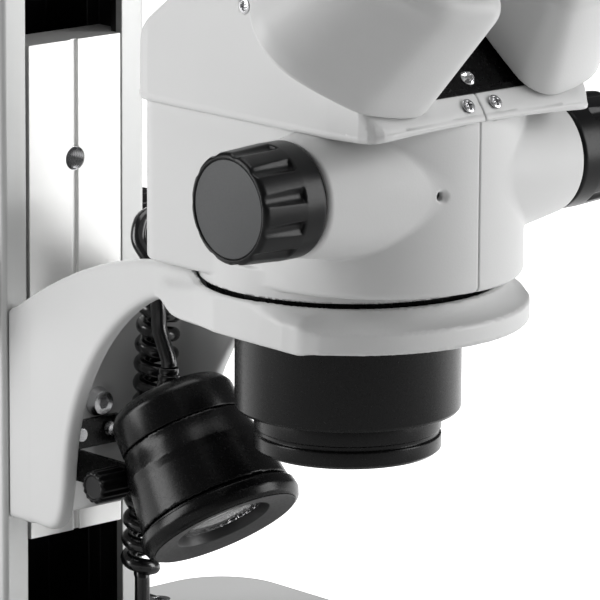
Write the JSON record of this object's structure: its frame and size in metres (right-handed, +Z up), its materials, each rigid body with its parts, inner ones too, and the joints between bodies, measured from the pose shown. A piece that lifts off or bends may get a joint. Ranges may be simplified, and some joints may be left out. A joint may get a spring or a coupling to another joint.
{
  "type": "stereo microscope",
  "caption": "Stereo zoom microscope on a track stand, with a rack-focused holder arm, inclined eyepieces, a spot lamp on a curly cord and an illuminated base.",
  "frame": {"origin": "middle of the object's footprint, on the table under the rubber feet", "axes": "+Z up, +X to the user's right, +Y away from the user, from the eyepieces to the column"},
  "size_m": [0.24, 0.3232, 0.4022],
  "materials": {
    "white_coat": "fine textured powder coat, satin",
    "black_coat": "black anodised, satin",
    "black_plastic": "black moulded, fine grain",
    "column_alu": "extruded, satin anodised",
    "slider_alu": "bright brushed",
    "steel": "turned and ground",
    "bronze": "sintered bronze",
    "rubber": "matt",
    "optical_glass": "polished and coated",
    "frosted_glass": "frosted",
    "board": "solder mask",
    "led_panel": "white diffusing",
    "reflector": "vacuum metallised",
    "cord_black": "smooth satin"
  },
  "bodies": {
    "stand": {"base_housing": "white_coat", "base_bottom_plate": "steel", "rubber_feet": "rubber", "stand_screws": "steel", "stage_plate": "frosted_glass", "stage_led_panel": "led_panel", "control_board": "board", "power_inlet": "black_plastic", "lamp_socket": "black_plastic", "switch_body": "black_plastic", "column": "column_alu", "column_top_cap": "black_plastic", "column_foot": "black_coat", "pinion_bushes": "bronze", "lamp_plug": "black_plastic"},
    "rocker": {"power_rocker": "black_plastic"},
    "dimmer_left": {"dimmer_knob_left": "black_plastic"},
    "dimmer_right": {"dimmer_knob_right": "black_plastic"},
    "clip_left": {"stage_clip_left": "steel"},
    "clip_right": {"stage_clip_right": "steel"},
    "carriage": {"slider": "slider_alu", "focus_rack": "steel", "head_holder_arm": "white_coat", "carriage_screws": "steel", "lamp_bracket": "black_coat", "lamp_cord_lead": "cord_black", "lamp_cord_coil": "cord_black"},
    "focus_pinion": {"pinion_shaft": "steel", "focus_knob_left": "black_plastic", "focus_knob_right": "black_plastic"},
    "tension_ring": {"tension_collar": "column_alu"},
    "clamp_screw": {"ring_clamp_screw": "black_plastic"},
    "lamp": {"lamp_housing": "black_coat", "lamp_rear_cap": "black_plastic", "lamp_bezel": "black_coat", "lamp_reflector": "reflector", "lamp_glass": "optical_glass"},
    "tilt_knob": {"lamp_tilt_knob": "black_plastic"},
    "head": {"head_cover_left": "white_coat", "head_cover_right": "white_coat", "head_top_left": "white_coat", "head_top_right": "white_coat", "head_frame": "column_alu", "head_screws": "steel", "front_plate": "black_coat", "objective_housing": "black_coat", "objective_ring": "black_coat", "objective_lens": "optical_glass"},
    "zoom": {"zoom_knob_left": "black_plastic", "zoom_knob_right": "black_plastic", "zoom_shaft": "steel"},
    "zoom_lenses": {"zoom_lens_carrier": "black_coat"},
    "eyepiece_unit_left": {"prism_housing_left": "white_coat", "prism_left": "optical_glass", "eyepiece_left": "black_plastic"},
    "eyepiece_unit_right": {"prism_housing_right": "white_coat", "prism_right": "optical_glass", "eyepiece_right": "black_plastic"},
    "diopter_left": {"diopter_ring_left": "black_plastic"},
    "diopter_right": {"diopter_ring_right": "black_plastic"}
  },
  "joints": [
    {"name": "focus_slide", "type": "slide", "parent": "stand", "child": "carriage", "axis": [0, 0, 1], "range_m": [-0.025, 0.065], "deforming": ["lamp_cord_coil", "lamp_cord_lead"]},
    {"name": "focus_spin", "type": "hinge", "parent": "stand", "child": "focus_pinion", "pos_m": [0, 0.1396, 0.197], "axis": [1, 0, 0], "range_deg": [-700, 270]},
    {"name": "tension_turn", "type": "hinge", "parent": "stand", "child": "tension_ring", "pos_m": [-0.0376, 0.1396, 0.197], "axis": [1, 0, 0], "range_deg": [-45, 45]},
    {"name": "switch_rock", "type": "hinge", "parent": "stand", "child": "rocker", "pos_m": [0, -0.1353, 0.025], "axis": [1, 0, 0], "range_deg": [-8, 8]},
    {"name": "dimmer_turn_left", "type": "hinge", "parent": "stand", "child": "dimmer_left", "pos_m": [-0.06, -0.1443, 0.025], "axis": [0, 1, 0], "range_deg": [0, 270]},
    {"name": "dimmer_turn_right", "type": "hinge", "parent": "stand", "child": "dimmer_right", "pos_m": [0.06, -0.1443, 0.025], "axis": [0, 1, 0], "range_deg": [0, 270]},
    {"name": "clip_turn_left", "type": "hinge", "parent": "stand", "child": "clip_left", "pos_m": [-0.06, -0.0003, 0.062], "axis": [0, 0, 1], "range_deg": [-60, 60]},
    {"name": "clip_turn_right", "type": "hinge", "parent": "stand", "child": "clip_right", "pos_m": [0.06, -0.0003, 0.062], "axis": [0, 0, 1], "range_deg": [-60, 60]},
    {"name": "clamp_turn", "type": "hinge", "parent": "carriage", "child": "clamp_screw", "pos_m": [0.05196, -0.0043, 0.2142], "axis": [0.866, 0.5, 0], "range_deg": [-180, 180]},
    {"name": "lamp_tilt", "type": "hinge", "parent": "carriage", "child": "lamp", "pos_m": [-0.006, 0.0642, 0.1365], "axis": [1, 0, 0], "range_deg": [-6, 20], "deforming": ["lamp_cord_lead"]},
    {"name": "tilt_knob_turn", "type": "hinge", "parent": "carriage", "child": "tilt_knob", "pos_m": [-0.02, 0.0642, 0.1365], "axis": [1, 0, 0], "range_deg": [-180, 180]},
    {"name": "head_turn", "type": "hinge", "parent": "carriage", "child": "head", "pos_m": [0, -0.0343, 0.215], "axis": [0, 0, 1], "range_deg": [-180, 180]},
    {"name": "zoom_turn", "type": "hinge", "parent": "head", "child": "zoom", "pos_m": [0, -0.069, 0.2633], "axis": [1, 0, 0], "range_deg": [-79, 222]},
    {"name": "zoom_lens_slide", "type": "slide", "parent": "head", "child": "zoom_lenses", "axis": [0, 0, 1], "range_m": [-0.0095, 0.0255]},
    {"name": "pupil_turn_left", "type": "hinge", "parent": "head", "child": "eyepiece_unit_left", "pos_m": [-0.044, -0.08199, 0.30854], "axis": [0, -0.7071, 0.7071], "range_deg": [-25, 25]},
    {"name": "pupil_turn_right", "type": "hinge", "parent": "head", "child": "eyepiece_unit_right", "pos_m": [0.044, -0.08199, 0.30854], "axis": [0, -0.7071, 0.7071], "range_deg": [-25, 25]},
    {"name": "diopter_turn_left", "type": "hinge", "parent": "eyepiece_unit_left", "child": "diopter_left", "pos_m": [-0.031, -0.11522, 0.35592], "axis": [0, -0.7071, 0.7071], "range_deg": [-150, 150]},
    {"name": "diopter_turn_right", "type": "hinge", "parent": "eyepiece_unit_right", "child": "diopter_right", "pos_m": [0.031, -0.11522, 0.35592], "axis": [0, -0.7071, 0.7071], "range_deg": [-150, 150]}
  ],
  "couplings": [
    {"joint": "focus_spin", "follows": "focus_slide", "rad_per_m": -166.67},
    {"joint": "zoom_lens_slide", "follows": "zoom_turn", "m_per_rad": 0.0065},
    {"joint": "pupil_turn_left", "follows": "pupil_turn_right", "ratio": -1}
  ]
}
